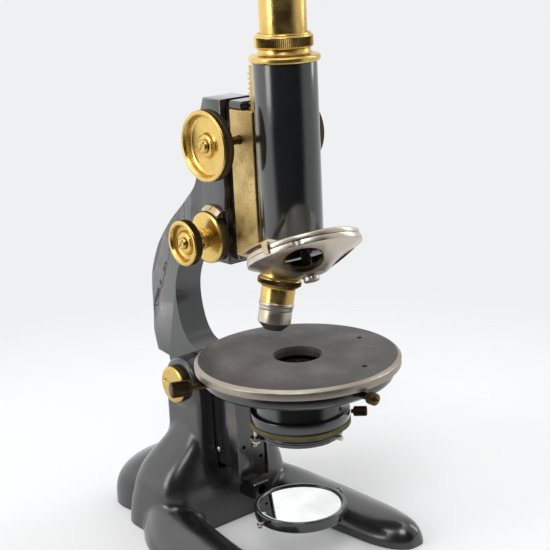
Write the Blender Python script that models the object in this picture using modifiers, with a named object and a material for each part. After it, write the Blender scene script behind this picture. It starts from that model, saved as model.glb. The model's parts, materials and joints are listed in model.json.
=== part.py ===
"""A compound microscope: black enamelled stand, brass slides and knobs, nickel nosepiece.

Units are metres with +Z up; the driving dimensions below are in millimetres. The origin is on the
underside of the foot, straight below the inclination joint. X runs along that joint, and -Y is the
front, where the stage is. Each sub-part is one object, parented to the empty of the body that it
moves with, and each empty stands on its joint's axis.
"""

import math

import bmesh
import bpy
from mathutils import Matrix, Vector

MM = 0.001

# Driving dimensions, in millimetres.
GAP = 0.3  # between pieces that rest on each other
OPTIC_Y = -80.0  # the optical axis stands here, at X = 0
STAGE_TOP = 116.0
STAGE_RADIUS = 55.0
STAGE_HOLE = 12.3
JOINT_Z = 85.5  # height of the inclination axis, which runs along X at Y = 0
CHEEK_IN = 9.6
CHEEK_OUT = 20.0
CHEEK_RADIUS = 14.7
LIMB_HALF = 9.0
FINE_Y, FINE_Z = -27.6, 174.5  # fine-focus spindle, along X
COARSE_Y, COARSE_Z = -52.5, 229.6  # coarse pinion, along X
TUBE_RADIUS = 16.4
TUBE_BORE = 14.9
TUBE_BOTTOM, TUBE_TOP = 182.4, 270.5
DRAW_RADIUS = 12.0
DRAW_TOP = 322.0
MIRROR_Y, MIRROR_Z = -77.0, 26.0
GEAR_MODULE = 0.8
PINION_TEETH = 12

# The nosepiece turns about a tilted axis, which meets the optical axis inside the tube.
NOSE_TILT = math.radians(27)
NOSE_AZIMUTH = math.radians(-104)
NOSE_APEX_Z = 200.9
NOSE_DROP = 30.5  # along the tilted axis, from that meeting point to the disc's lower rim
NOSE_RADIUS = 30.2
NOSE_SEAT = 18.6  # radius of the circle on which the objective seats lie
OBJECTIVE_TURN = math.radians(-151)  # the objective stands between two clicks

COLOURS = {  # name: (red, green, blue, roughness, metallic)
    "black_enamel": (0.015, 0.015, 0.017, 0.22, 0.0),
    "stage_black": (0.075, 0.072, 0.07, 0.45, 0.2),
    "brass": (0.83, 0.6, 0.25, 0.25, 1.0),
    "dark_brass": (0.13, 0.09, 0.06, 0.45, 0.8),
    "aged_brass": (0.32, 0.29, 0.17, 0.4, 0.9),
    "nickel": (0.66, 0.64, 0.6, 0.28, 1.0),
    "steel": (0.5, 0.5, 0.5, 0.35, 1.0),
    "ebonite": (0.02, 0.018, 0.016, 0.4, 0.0),
    "glass": (0.85, 0.9, 0.92, 0.03, 0.0),
    "mirror": (0.9, 0.9, 0.9, 0.02, 1.0),
}
X_AXIS, Y_AXIS, Z_AXIS = Vector((1, 0, 0)), Vector((0, 1, 0)), Vector((0, 0, 1))
ON_SIDE = Matrix(((0, 0, 1, 0), (1, 0, 0, 0), (0, 1, 0, 0), (0, 0, 0, 1)))  # outline (y, z), depth X
ON_FRONT = Matrix(((1, 0, 0, 0), (0, 0, -1, 0), (0, 1, 0, 0), (0, 0, 0, 1)))  # outline (x, z)
FLAT = Matrix.Identity(4)  # outline (x, y), depth Z


def clear_scene():
    for obj in list(bpy.data.objects):
        bpy.data.objects.remove(obj)
    for collection in list(bpy.data.collections):
        bpy.data.collections.remove(collection)


def new_collection(name):
    collection = bpy.data.collections.new(name)
    bpy.context.scene.collection.children.link(collection)
    return collection


def make_materials():
    made = {}
    for name, (red, green, blue, roughness, metallic) in COLOURS.items():
        material = bpy.data.materials.new(name)
        material.use_nodes = True
        shader = material.node_tree.nodes["Principled BSDF"]
        shader.inputs["Base Color"].default_value = (red, green, blue, 1)
        shader.inputs["Roughness"].default_value = roughness
        shader.inputs["Metallic"].default_value = metallic
        made[name] = material
    return made


clear_scene()
PARTS = new_collection("compound_microscope")
CUTTERS = new_collection("cutters")
CUTTERS.hide_render = True
MATERIALS = make_materials()


# Making shapes. A shape with a material is a part, and one without is a tool for a Boolean.


def add(obj, material):
    if material is None:
        CUTTERS.objects.link(obj)
        obj.hide_render = True
        obj.display_type = "WIRE"
    else:
        PARTS.objects.link(obj)
        obj.data.materials.append(MATERIALS[material])
    return obj


def frame_at(point, along):
    """The frame at a point, in millimetres, whose +Z is along a direction."""
    turn = Vector(along).to_track_quat("Z", "Y").to_matrix().to_4x4()
    return Matrix.Translation(Vector(point) * MM) @ turn


def turned(name, profile, frame=FLAT, steps=24, material=None):
    """A turned piece: (radius, height) pairs down the outer side and, on a ring, back up the bore."""
    ring = profile[0][0] > 0
    count = len(profile)
    edges = [(i, (i + 1) % count) for i in range(count if ring else count - 1)]
    mesh = bpy.data.meshes.new(name)
    mesh.from_pydata([(radius * MM, 0, height * MM) for radius, height in profile], edges, [])
    obj = bpy.data.objects.new(name, mesh)
    obj.matrix_world = frame
    screw = obj.modifiers.new("Turn", "SCREW")
    screw.steps = screw.render_steps = steps
    screw.use_merge_vertices = True
    screw.merge_threshold = 0.00001
    return add(obj, material)


def rod(name, radius, start, end, steps=16, material=None):
    """A plain cylinder from one point to another."""
    start, end = Vector(start), Vector(end)
    length = (end - start).length
    profile = [(0, length), (radius, length), (radius, 0), (0, 0)]
    return turned(name, profile, frame_at(start, end - start), steps, material)


def block(name, low, high, bevel=0.0, frame=FLAT, material=None):
    low, high = Vector(low) * MM, Vector(high) * MM
    middle = Matrix.Translation((low + high) / 2)
    shape = bmesh.new()
    bmesh.ops.create_cube(shape, size=1, matrix=middle @ Matrix.Diagonal((*(high - low), 1)))
    mesh = bpy.data.meshes.new(name)
    shape.to_mesh(mesh)
    shape.free()
    obj = bpy.data.objects.new(name, mesh)
    obj.matrix_world = frame
    if bevel:
        rounding = obj.modifiers.new("Edges", "BEVEL")
        rounding.width = bevel * MM
        rounding.segments = 1
    return add(obj, material)


def plate(name, outline, low, high, frame=FLAT, material=None):
    """A flat outline extruded from low to high along its frame's +Z, welded to a closed mesh."""
    curve = bpy.data.curves.new(name, "CURVE")
    curve.dimensions = "2D"
    curve.fill_mode = "BOTH"
    curve.extrude = (high - low) / 2 * MM
    spline = curve.splines.new("POLY")
    spline.points.add(len(outline) - 1)
    spline.use_cyclic_u = True
    for point, (across, up) in zip(spline.points, outline):
        point.co = (across * MM, up * MM, 0, 1)
    guide = bpy.data.objects.new(name + "_guide", curve)
    CUTTERS.objects.link(guide)
    graph = bpy.context.evaluated_depsgraph_get()
    mesh = bpy.data.meshes.new_from_object(guide.evaluated_get(graph))
    bpy.data.objects.remove(guide)
    mesh.name = name
    shape = bmesh.new()
    shape.from_mesh(mesh)
    bmesh.ops.remove_doubles(shape, verts=shape.verts, dist=0.000001)
    shape.to_mesh(mesh)
    shape.free()
    obj = bpy.data.objects.new(name, mesh)
    obj.matrix_world = frame @ Matrix.Translation((0, 0, (low + high) / 2 * MM))
    return add(obj, material)


def loft(name, sections, material=None):
    """A closed skin through sections that have the same number of points, in millimetres."""
    shape = bmesh.new()
    rings = [[shape.verts.new(Vector(point) * MM) for point in section] for section in sections]
    for first, second in zip(rings, rings[1:]):
        for i in range(len(first)):
            j = (i + 1) % len(first)
            shape.faces.new((first[i], first[j], second[j], second[i]))
    shape.faces.new(rings[0])
    shape.faces.new(rings[-1])
    bmesh.ops.recalc_face_normals(shape, faces=shape.faces)
    mesh = bpy.data.meshes.new(name)
    shape.to_mesh(mesh)
    shape.free()
    return add(bpy.data.objects.new(name, mesh), material)


def combine(target, operation, tools):
    for tool in tools:
        boolean = target.modifiers.new(tool.name, "BOOLEAN")
        boolean.operation = operation
        boolean.object = tool
    return target


def cut(target, *tools):
    return combine(target, "DIFFERENCE", tools)


def join(target, *tools):
    return combine(target, "UNION", tools)


def arc(centre, radius, start, end, count):
    """Points along an arc, from one angle to another in degrees."""
    points = []
    for i in range(count + 1):
        angle = math.radians(start + (end - start) * i / count)
        points.append((centre[0] + radius * math.cos(angle), centre[1] + radius * math.sin(angle)))
    return points


def superellipse(half_width, height, power, count):
    """The upper half of a superellipse from its +X end to its -X end, as (x, z) pairs."""
    points = []
    for i in range(count + 1):
        across, up = math.cos(math.pi * i / count), math.sin(math.pi * i / count)
        reach = math.copysign(abs(across) ** (2 / power), across)
        points.append((half_width * reach, height * abs(up) ** (2 / power)))
    return points


# The base.

FLOOR_CUT = -6.0  # the castings' tools start below the floor, and one flat cut ends them there
HEEL = (  # (y, half width, height)
    (-9, 24, 38),
    (-1, 27, 40),
    (10, 31, 40.5),
    (20, 35, 39.3),
    (30, 37.4, 37.2),
    (37, 38.8, 35.2),
    (45, 38.8, 31.6),
    (51, 37.4, 27),
    (55, 34.5, 21),
    (57.4, 30.5, 13),
    (58.2, 26, 5),
)
LEG = (  # (y, inner x, outer x, height)
    (22.3, 14, 40, 20.3),
    (7, 15.2, 48.6, 20.6),
    (-2, 18, 54.4, 20.2),
    (-15, 22, 60.2, 18),
    (-30, 24, 63.3, 16),
    (-50, 27, 64.6, 15),
    (-70, 29.5, 64.6, 14.5),
    (-90, 30.6, 63.6, 14.5),
    (-102, 32.2, 61.4, 14.3),
    (-111, 35.2, 58.6, 13.4),
    (-116.5, 38.8, 55.4, 10.5),
    (-119.6, 42.7, 51.9, 6.2),
)
ROOT = (  # (z, half width, front y, back y): the pillar's concave foot
    (66, 19.9, -14.4, 15),
    (58, 21, -14.5, 16),
    (52, 24.5, -14.8, 18),
    (47, 29.5, -15.2, 20),
    (42, 35, -16, 22.5),
    (37, 39.5, -17, 25),
    (32, 42.5, -18.2, 27),
    (26, 44.5, -19.4, 29.5),
    (20, 45.5, -20.4, 31),
    (12, 47, -21, 33),
    (FLOOR_CUT, 49, -21, 34),
)


def hump(half, height, power, count):
    """A rounded hump's outline, whose sides go straight down through the floor."""
    top = superellipse(half, height, power, count)[1:-1]
    return [(half, FLOOR_CUT), (half, 0.4)] + top + [(-half, 0.4), (-half, FLOOR_CUT)]


def heel_section(y, half_width, height):
    return [(x, y, z) for x, z in hump(half_width, height, 3.4, 12)]


def leg_section(side, y, inner, outer, height):
    middle, half = (inner + outer) / 2, (outer - inner) / 2
    return [(side * (middle + x), y, z) for x, z in hump(half, height, 1.9, 10)]


def root_section(z, half_width, front, back):
    points = []
    for i in range(24):
        angle = 2 * math.pi * i / 24
        across, along = math.cos(angle), math.sin(angle)
        x = half_width * math.copysign(abs(across) ** 0.5, across)
        y = (back - front) / 2 * math.copysign(abs(along) ** 0.5, along) + (back + front) / 2
        points.append((x, y, z))
    return points


def cheek(side):
    outline = [(-CHEEK_RADIUS, 30)]
    outline += reversed(arc((0, JOINT_Z), CHEEK_RADIUS, 0, 180, 12))
    outline += [(15.4, 62), (16.6, 46), (18, 30)]
    low, high = sorted((side * CHEEK_IN, side * CHEEK_OUT))
    return plate(f"cheek_{side}", outline, low, high, ON_SIDE)


def make_base():
    casting = loft("base_casting", [heel_section(*station) for station in HEEL], "black_enamel")
    tools = [loft("root", [root_section(*level) for level in ROOT])]
    for side in (-1, 1):
        tools.append(loft(f"leg_{side}", [leg_section(side, *station) for station in LEG]))
        tools.append(cheek(side))
        boss_ends = (side * (CHEEK_OUT - 2), 0, JOINT_Z), (side * (CHEEK_OUT + 1), 0, JOINT_Z)
        tools.append(rod(f"boss_{side}", 13.6, *boss_ends, 24))
    join(casting, *tools)
    cut(
        casting,
        block("floor_cut", (-80, -140, -20), (80, 80, 0)),
        block("tail_slot", (-CHEEK_IN, -40, 34), (CHEEK_IN, -4, 120)),
        block("limb_slot", (-CHEEK_IN, -41, 44), (CHEEK_IN, 70, 121)),
        rod("joint_bore", 5.1, (-40, 0, JOINT_Z), (40, 0, JOINT_Z), 24),
    )
    half = CHEEK_OUT + 1
    bolt = rod("inclination_bolt", 4.7, (-half, 0, JOINT_Z), (half, 0, JOINT_Z), 24, "steel")
    heads = []
    for side, word in ((-1, "left"), (1, "right")):
        profile = [(0, 5.2), (10.2, 5.2), (10.8, 4.6), (10.8, 0), (0, 0)]
        frame = frame_at((side * (half + GAP), 0, JOINT_Z), side * X_AXIS)
        head = turned(f"bolt_head_{word}", profile, frame, 32, "brass")
        for end in (-1, 1):
            point = Vector((side * (half + 2.5), end * 6.4, JOINT_Z + end * 1.7))
            cut(head, rod(f"pin_hole_{word}_{end}", 0.9, point, point + side * 5 * X_AXIS, 8))
        heads.append(head)
    return [casting, bolt, *heads]


# The limb, with the stage bracket and the tailpiece.


def make_limb():
    back = [(-22, 244), (-15.5, 226), (-11.8, 203.2), (-1.1, 190.8), (14.6, 176.8), (27.8, 161.7)]
    back += [(35.7, 145.9), (38, 134), (38.3, 120), (39.6, 104), (37, 94), (24.7, 94), (24.7, 84)]
    lug = [(21, 73), (14, 63), (3, 54.5), (-8.8, 54.5), (-8.8, 102.9)]
    throat = [(-3.4, 102.9), (4.8, 106.5), (10.7, 114.3), (14.2, 127), (13.9, 139.6), (9.3, 150.6)]
    front = [(2.5, 157), (-8, 160.4), (-38, 160.4), (-38, 244)]
    limb = plate("limb", back + lug + throat + front, -LIMB_HALF, LIMB_HALF, ON_SIDE, "black_enamel")
    head = [(-39, 160), (-15, 160), (-15, 205), (-17, 228), (-21.5, 242), (-23.5, 249.4), (-39, 249.4)]
    join(limb, plate("limb_head", head, -10.5, 10.5, ON_SIDE))
    cut(
        limb,
        rod("lug_bore", 5.1, (-20, 0, JOINT_Z), (20, 0, JOINT_Z), 24),
        rod("spindle_bore", 3.1, (-20, FINE_Y, FINE_Z), (20, FINE_Y, FINE_Z), 16),
    )
    guide = block("fine_focus_guide", (-7, -44.9, 163), (7, -39.3, 245), 0.4, material="black_enamel")
    return [limb, guide, make_index_plate()]


def make_index_plate():
    """The silvered scale over the graduated drum: a bevelled piece of a ring, fixed to the limb."""
    profile = [(17.4, -10.9), (17.4, -12.6), (15.6, -15.2), (14.8, -15.2), (14.8, -10.9)]
    flipped = [(radius, -height) for radius, height in profile]
    frame = frame_at((0, FINE_Y, FINE_Z), -X_AXIS)
    index = turned("fine_focus_index", flipped[::-1], frame, 32, "nickel")
    keep = block("index_keep", (-20, FINE_Y - 9, FINE_Z + 5), (-5, FINE_Y + 4, FINE_Z + 25))
    combine(index, "INTERSECT", [keep])
    return index


def make_bracket():
    bottom = STAGE_TOP - 12.5
    profile = [(51, bottom + 6.6), (51, bottom + 1.6), (49.4, bottom), (16, bottom), (16, bottom + 6.6)]
    optic = frame_at((0, OPTIC_Y, 0), Z_AXIS)
    bracket = turned("stage_bracket", profile, optic, 48, "black_enamel")
    join(
        bracket,
        block("bracket_back", (-LIMB_HALF, -36, bottom - 0.6), (LIMB_HALF, -9.1, bottom + 1.2)),
        block("bracket_leg", (-LIMB_HALF, -29, 37.5), (LIMB_HALF, -9.1, bottom + 1)),
    )
    for side in (-1, 1):
        low, high = sorted((side * (LIMB_HALF - 0.9), side * (LIMB_HALF + 2)))
        cut(bracket, block(f"groove_{side}", (low, -22.8, 47), (high, -20.3, bottom - 4)))
    tail = block("tailpiece", (-11, -38.2, 31), (11, -29.3, bottom - GAP - 0.6), 0.5, material="black_enamel")
    pocket = [(-9.6, 25), (9.6, 25)] + arc((4.6, 92), 5, 0, 90, 4) + arc((-4.6, 92), 5, 90, 180, 4)
    cut(tail, plate("pocket", pocket, 37, 40, ON_FRONT))
    for x, z in ((-6, 51.6), (6, 42.9)):
        cut(tail, rod(f"tail_hole_{z:.0f}", 1.2, (x, -45, z), (x, -33, z), 12))
    pieces = [bracket, tail]
    dome = [(0, 1.1), (1.0, 0.9), (1.7, 0.3), (1.7, 0), (0, 0)]
    for side, word in ((-1, "left"), (1, "right")):
        frame = frame_at((side * (LIMB_HALF + GAP), -17.9, 46.2), side * X_AXIS)
        pieces.append(turned(f"bracket_screw_{word}", dome, frame, 16, "nickel"))
    screw_frame = frame_at((1.5, -37 - GAP, 51), -Y_AXIS)
    pieces.append(turned("tailpiece_screw", dome, screw_frame, 16, "steel"))
    return pieces


# The stage.


def polar(radius, azimuth, z):
    """A point at a radius and an azimuth in degrees from the optical axis."""
    angle = math.radians(azimuth)
    return Vector((radius * math.cos(angle), OPTIC_Y + radius * math.sin(angle), z))


def make_stage():
    bottom = STAGE_TOP - 5.6
    rim = [(STAGE_RADIUS - 1.3, STAGE_TOP), (STAGE_RADIUS, STAGE_TOP - 1.2), (STAGE_RADIUS, bottom)]
    bore = [(STAGE_HOLE, bottom), (STAGE_HOLE, STAGE_TOP)]
    stage = turned("stage_plate", rim + bore, frame_at((0, OPTIC_Y, 0), Z_AXIS), 56, "stage_black")
    for azimuth in (-6.6, -74.7):
        low, high = polar(41.3, azimuth, bottom - 2), polar(41.3, azimuth, STAGE_TOP + 2)
        cut(stage, rod(f"clip_hole_{azimuth:.0f}", 1.5, low, high, 12))
    return stage


def make_centring_screw(name, azimuth, profile):
    """A milled screw that stands out of the fixed stage body along a radius."""
    start = polar(51 + GAP, azimuth, STAGE_TOP - 9.3)
    outward = polar(60, azimuth, STAGE_TOP - 9.3) - start
    return turned(name, profile, frame_at(start, outward), 20, "dark_brass")


LEFT_SCREW = [(0, 19), (3.6, 19), (4.2, 18.4), (4.2, 8.2), (3.4, 7.6), (1.8, 7.6), (1.8, 0), (0, 0)]
FRONT_SCREW = [(0, 11.5), (1.2, 9.6), (3.2, 9.2), (3.2, 4.6), (1.8, 4.2), (1.8, 0), (0, 0)]


# The substage, which hangs under the stage on the optical axis.


def make_collar():
    profile = [(23.8, 103.2), (23.8, 86), (26.6, 86), (27, 85.6), (27, 80.8), (22.6, 80.8), (22.6, 103.2)]
    return turned("substage_collar", profile, frame_at((0, OPTIC_Y, 0), Z_AXIS), 40, "black_enamel")


def make_collar_screw():
    start = polar(27 + GAP, -45, 83.2)
    profile = [(0, 8.8), (2.2, 8.8), (2.7, 8.3), (2.7, 1.4), (1.1, 1), (1.1, 0), (0, 0)]
    frame = frame_at(start, polar(40, -45, 83.2) - start)
    return turned("collar_screw", profile, frame, 16, "dark_brass")


def make_condenser():
    optic = frame_at((0, OPTIC_Y, 0), Z_AXIS)
    outer = [(10.8, 109.9), (10.8, 107), (14, 103), (22.2, 100.6), (22.2, 80.8)]
    inner = [(17.6, 80.8), (17.6, 95.6), (9, 103), (9, 109.9)]
    ring = [(27.0, 80.5), (27.3, 80.2), (27.3, 77.4), (27.0, 77.1), (17.6, 77.1), (17.6, 80.5)]
    housing = [(23.2, 76.8), (23.2, 73.9), (22.8, 73.6), (17.6, 73.6), (17.6, 76.8)]
    upper_lens = [(0, 109.5), (8.6, 109.5), (8.6, 106), (4.5, 104.7), (0, 104.3)]
    lower_lens = [(0, 92), (9, 90.6), (17.2, 87), (17.2, 84), (0, 84)]
    return [
        turned("condenser_body", outer + inner, optic, 40, "black_enamel"),
        turned("iris_ring", ring, optic, 40, "aged_brass"),
        turned("iris_housing", housing, optic, 32, "black_enamel"),
        turned("condenser_upper_lens", upper_lens, optic, 20, "glass"),
        turned("condenser_lower_lens", lower_lens, optic, 24, "glass"),
    ]


IRIS_AZIMUTH, TRAY_AZIMUTH = -84.0, 158.0


def make_iris():
    optic = frame_at((0, OPTIC_Y, 0), Z_AXIS)
    leaves = [(17.2, 79.2), (17.2, 78.6), (8, 78.6), (8, 79.2)]
    knob = [(0, 6.2), (1.1, 6.2), (1.4, 5.8), (1.4, 2.8), (0.8, 2.4), (0.8, 0), (0, 0)]
    start = polar(23.2 + GAP, IRIS_AZIMUTH, 75.3)
    frame = frame_at(start, polar(40, IRIS_AZIMUTH, 75.3) - start)
    return [
        turned("iris_leaves", leaves, optic, 24, "steel"),
        turned("iris_lever", knob, frame, 12, "nickel"),
    ]


def make_tray():
    """The swing-out filter ring, hung from one screw under the iris."""
    optic = frame_at((0, OPTIC_Y, 0), Z_AXIS)
    ring = [(22.8, 73.3), (22.8, 71.8), (22.3, 71.3), (17.5, 71.3), (17.5, 73.3)]
    tray = turned("filter_tray", ring, optic, 32, "black_enamel")
    pivot = polar(25.4, TRAY_AZIMUTH, 0)
    join(tray, rod("tray_lug", 3.2, pivot + 71.5 * Z_AXIS, pivot + 73.2 * Z_AXIS, 12))
    cut(tray, rod("tray_bore", 1.5, pivot + 60 * Z_AXIS, pivot + 80 * Z_AXIS, 12))
    profile = [(0, 76.7), (1.15, 76.7), (1.15, 71), (2.2, 70.9), (2.2, 70.1), (1.7, 69.6), (0, 69.6)]
    screw = turned("tray_pivot_screw", profile, frame_at(pivot, Z_AXIS), 12, "nickel")
    return tray, screw


# The mirror, in a half-ring fork that swivels on an arm under the tailpiece.


def make_mirror_arm():
    arm = block("mirror_arm", (-5.5, -44, 20.6), (5.5, -29.6, 30.7), 0.8, material="black_enamel")
    return cut(arm, rod("swivel_bore", 2.9, (0, -60, MIRROR_Z), (0, -20, MIRROR_Z), 16))


def mirror_frame():
    return Matrix.Translation(Vector((0, MIRROR_Y, MIRROR_Z)) * MM)


def make_fork():
    outline = arc((0, 0), 28.6, -4, 184, 28) + arc((0, 0), 25.9, 184, -4, 28)
    fork = plate("mirror_fork", outline, -3, 3, mirror_frame(), "black_enamel")
    join(fork, rod("fork_stem", 2.5, (0, -49.6, MIRROR_Z), (0, -31, MIRROR_Z), 16))
    join(fork, rod("fork_shoulder", 4.2, (0, -49.8, MIRROR_Z), (0, -44.4, MIRROR_Z), 16))
    for side in (-1, 1):
        ends = [mirror_frame() @ Vector((side * x * MM, 0, 0)) / MM for x in (20, 40)]
        cut(fork, rod(f"pivot_bore_{side}", 1.5, *ends, 12))
    return fork


def make_mirror():
    frame = mirror_frame()
    cell = [(25.4, 3), (25.4, -3), (24.4, -3.4), (15, -3.4), (15, -1.2), (23.1, -1.2), (23.1, 3)]
    glass = [(0, 2.2), (22.8, 2.2), (22.8, -0.9), (0, -0.9)]
    pieces = [
        turned("mirror_cell", cell, frame, 40, "black_enamel"),
        turned("mirror_glass", glass, frame, 40, "mirror"),
    ]
    for side, word in ((-1, "left"), (1, "right")):
        profile = [(0, 4.6), (1.4, 4.6), (2, 4.2), (2, 3.5), (1.2, 3.5), (1.2, 0), (0, 0)]
        point = frame @ Vector((side * (25.4 + GAP) * MM, 0, 0)) / MM
        outward = frame.to_3x3() @ (side * X_AXIS)
        name = f"mirror_pivot_{word}"
        pieces.append(turned(name, profile, frame_at(point, outward), 12, "nickel"))
    return pieces


# Fine and coarse focus.


def knob_profile(radius, width, hub, hub_length):
    """A dished milled knob with its face at height 0 and its hub behind it, as a ring on a spindle."""
    rim = [(radius - 2.2, -0.5), (radius - 1.6, 0), (radius - 0.5, 0), (radius, -0.5), (radius, -width)]
    back = [(hub, -width), (hub, -width - hub_length), (hub * 0.45, -width - hub_length)]
    dish = [(hub * 0.45, -1.6), (hub + 0.8, -1.6), (hub + 1.8, -3), (radius * 0.62, -3)]
    return rim + back + dish


def knob_screw(name, face_x, side, radius, y, z):
    """The slotted screw that holds a knob, in the middle of its dished face."""
    frame = frame_at((side * (face_x - 1.3), y, z), side * X_AXIS)
    head = [(0, 2), (radius * 0.7, 1.7), (radius, 0.9), (radius, 0), (0, 0)]
    screw = turned(name, head, frame, 16, "brass")
    slot = block(name + "_slot", (-radius * 2, -0.4, 1.2), (radius * 2, 0.4, 4), frame=frame)
    return cut(screw, slot)


def gear_outline(teeth, module, backlash=0.22):
    """A pinion's outline about the origin, with one tooth pointing to -Y."""
    pitch_radius = teeth * module / 2
    points = []
    for i in range(teeth):
        middle = -math.pi / 2 + 2 * math.pi * i / teeth
        for radius, share in ((-1.2, -0.27), (1.0 - backlash, -0.11), (1.0 - backlash, 0.11), (-1.2, 0.27)):
            angle = middle + share * 2 * math.pi / teeth
            reach = pitch_radius + radius * module
            points.append((reach * math.cos(angle), reach * math.sin(angle)))
    return points


def rack_outline(back, pitch_line, low, high, phase_z, module, backlash=0.22):
    """A rack's (y, z) outline whose teeth point to +Y, with a gap between teeth at phase_z."""
    pitch = math.pi * module
    first = math.ceil((low - phase_z) / pitch)
    last = math.floor((high - phase_z) / pitch)
    points = [(back, low - 2), (pitch_line - 1.2 * module, low - 2)]
    for i in range(first, last):
        middle = phase_z + (i + 0.5) * pitch
        tip = pitch_line + (1.0 - backlash) * module
        root = pitch_line - 1.2 * module
        for y, share in ((root, -0.25), (tip, -0.1), (tip, 0.1), (root, 0.25)):
            points.append((y, middle + share * pitch))
    return points + [(pitch_line - 1.2 * module, high + 2), (back, high + 2)]


def make_fine_block():
    slide = block("fine_focus_slide", (-9.7, -63.9, 166.5), (9.7, -45.3, 245), 0.4, material="brass")
    cut(
        slide,
        block("rack_way", (-5.8, -70, 150), (5.8, -56.1, 260)),
        rod("pinion_well", 5.8, (-4.7, COARSE_Y, COARSE_Z), (4.7, COARSE_Y, COARSE_Z), 24),
        rod("pinion_bore", 2.6, (-20, COARSE_Y, COARSE_Z), (20, COARSE_Y, COARSE_Z), 16),
    )
    cap = block("slide_cap", (-9.9, -56, 245.3), (9.9, -45.1, 249.5), 0.9, material="black_enamel")
    return [slide, cap]


def make_fine_knobs():
    at = frame_at((0, FINE_Y, FINE_Z), -X_AXIS)
    spindle = rod("fine_focus_spindle", 2.2, (-30.5, FINE_Y, FINE_Z), (15.5, FINE_Y, FINE_Z), 16, "steel")
    drum = [(5.6, 27.2), (5.6, 16.8), (13.6, 16.8), (14.1, 16.3), (14.1, 10.9), (2.6, 10.9), (2.6, 27.2)]
    left = [(radius, 33 + height) for radius, height in knob_profile(12.4, 5.4, 5.6, 0.1)]
    far = frame_at((0, FINE_Y, FINE_Z), X_AXIS)
    right = [(0, 17.4), (11.9, 17.4), (12.4, 16.9), (12.4, 12), (5.6, 12), (5.6, 11.2), (2.5, 11.2)]
    right += [(2.5, 15.8), (0, 15.8)]
    return [
        spindle,
        turned("fine_focus_drum", drum, at, 32, "brass"),
        turned("fine_focus_knob_left", left, at, 32, "brass"),
        turned("fine_focus_knob_right", right, far, 32, "brass"),
        knob_screw("fine_knob_screw", 33, -1, 3.2, FINE_Y, FINE_Z),
    ]


def make_coarse_knobs():
    at = ON_SIDE.copy()
    at.translation = Vector((0, COARSE_Y, COARSE_Z)) * MM
    pinion = plate("coarse_pinion", gear_outline(PINION_TEETH, GEAR_MODULE), -4.2, 4.2, at, "steel")
    join(pinion, rod("pinion_shaft", 2.2, (-31.6, COARSE_Y, COARSE_Z), (31.6, COARSE_Y, COARSE_Z), 16))
    pieces = [pinion]
    for side, word in ((-1, "left"), (1, "right")):
        frame = frame_at((side * 34, COARSE_Y, COARSE_Z), side * X_AXIS)
        name = f"coarse_focus_knob_{word}"
        pieces.append(turned(name, knob_profile(18.5, 6.6, 5.6, 0.1), frame, 40, "brass"))
        pieces.append(knob_screw(f"coarse_knob_screw_{word}", 34, side, 3.6, COARSE_Y, COARSE_Z))
    return pieces


# The tube.


def make_tube():
    optic = frame_at((0, OPTIC_Y, 0), Z_AXIS)
    barrel = [(TUBE_RADIUS, TUBE_TOP), (TUBE_RADIUS, TUBE_BOTTOM)]
    barrel += [(TUBE_BORE, TUBE_BOTTOM), (TUBE_BORE, TUBE_TOP)]
    flange = [(13.4, 277.2), (13.8, 275.6), (15.2, 274.2), (17.5, 273.9), (18.1, 273.3), (18.1, 271.3)]
    flange += [(17.6, 270.8), (12.3, 270.8), (12.3, 277.2)]
    clamp = [(13.6, 285), (13.9, 284.6), (13.9, 283.8), (14.8, 283.2), (14.8, 278), (14.3, 277.5)]
    clamp += [(12.3, 277.5), (12.3, 285)]
    pitch_line = COARSE_Y - PINION_TEETH * GEAR_MODULE / 2
    outline = rack_outline(-67, pitch_line, 186, 266, COARSE_Z, GEAR_MODULE)
    rack = plate("rack_bar", outline, -5.5, 5.5, ON_SIDE, "brass")
    low, high = (0, OPTIC_Y, TUBE_BOTTOM - 9), (0, OPTIC_Y, TUBE_TOP + 9)
    cut(rack, rod("tube_clearance", TUBE_RADIUS + GAP, low, high, 48))
    return [
        turned("body_tube", barrel, optic, 40, "black_enamel"),
        turned("tube_flange", flange, optic, 40, "brass"),
        turned("draw_tube_clamp", clamp, optic, 40, "brass"),
        rack,
    ]


def nose_frame():
    """The frame of the nosepiece: +Z up its tilted axis, +X away from the tube, origin at the rim."""
    down = Vector((
        math.sin(NOSE_TILT) * math.cos(NOSE_AZIMUTH),
        math.sin(NOSE_TILT) * math.sin(NOSE_AZIMUTH),
        -math.cos(NOSE_TILT),
    ))
    across = Vector((-math.sin(NOSE_AZIMUTH), math.cos(NOSE_AZIMUTH), 0))
    away = across.cross(-down)
    centre = Vector((0, OPTIC_Y, NOSE_APEX_Z)) + down * NOSE_DROP
    frame = Matrix((away, across, -down)).transposed().to_4x4()
    frame.translation = centre * MM
    return frame


def nose_point(radius, turn, height):
    return Vector((radius * math.cos(turn), radius * math.sin(turn), height)) * MM


def seat_frame(turn):
    """The frame of one objective seat: +Z up the objective's axis, origin on the disc's cone."""
    depth = (NOSE_RADIUS - NOSE_SEAT) * math.tan(NOSE_TILT)
    lean = Matrix.Rotation(turn, 4, "Z") @ Matrix.Rotation(-NOSE_TILT, 4, "Y")
    return nose_frame() @ Matrix.Translation(nose_point(NOSE_SEAT, turn, -depth)) @ lean


def cone_height(radius):
    return -(NOSE_RADIUS - radius) * math.tan(NOSE_TILT)


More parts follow.
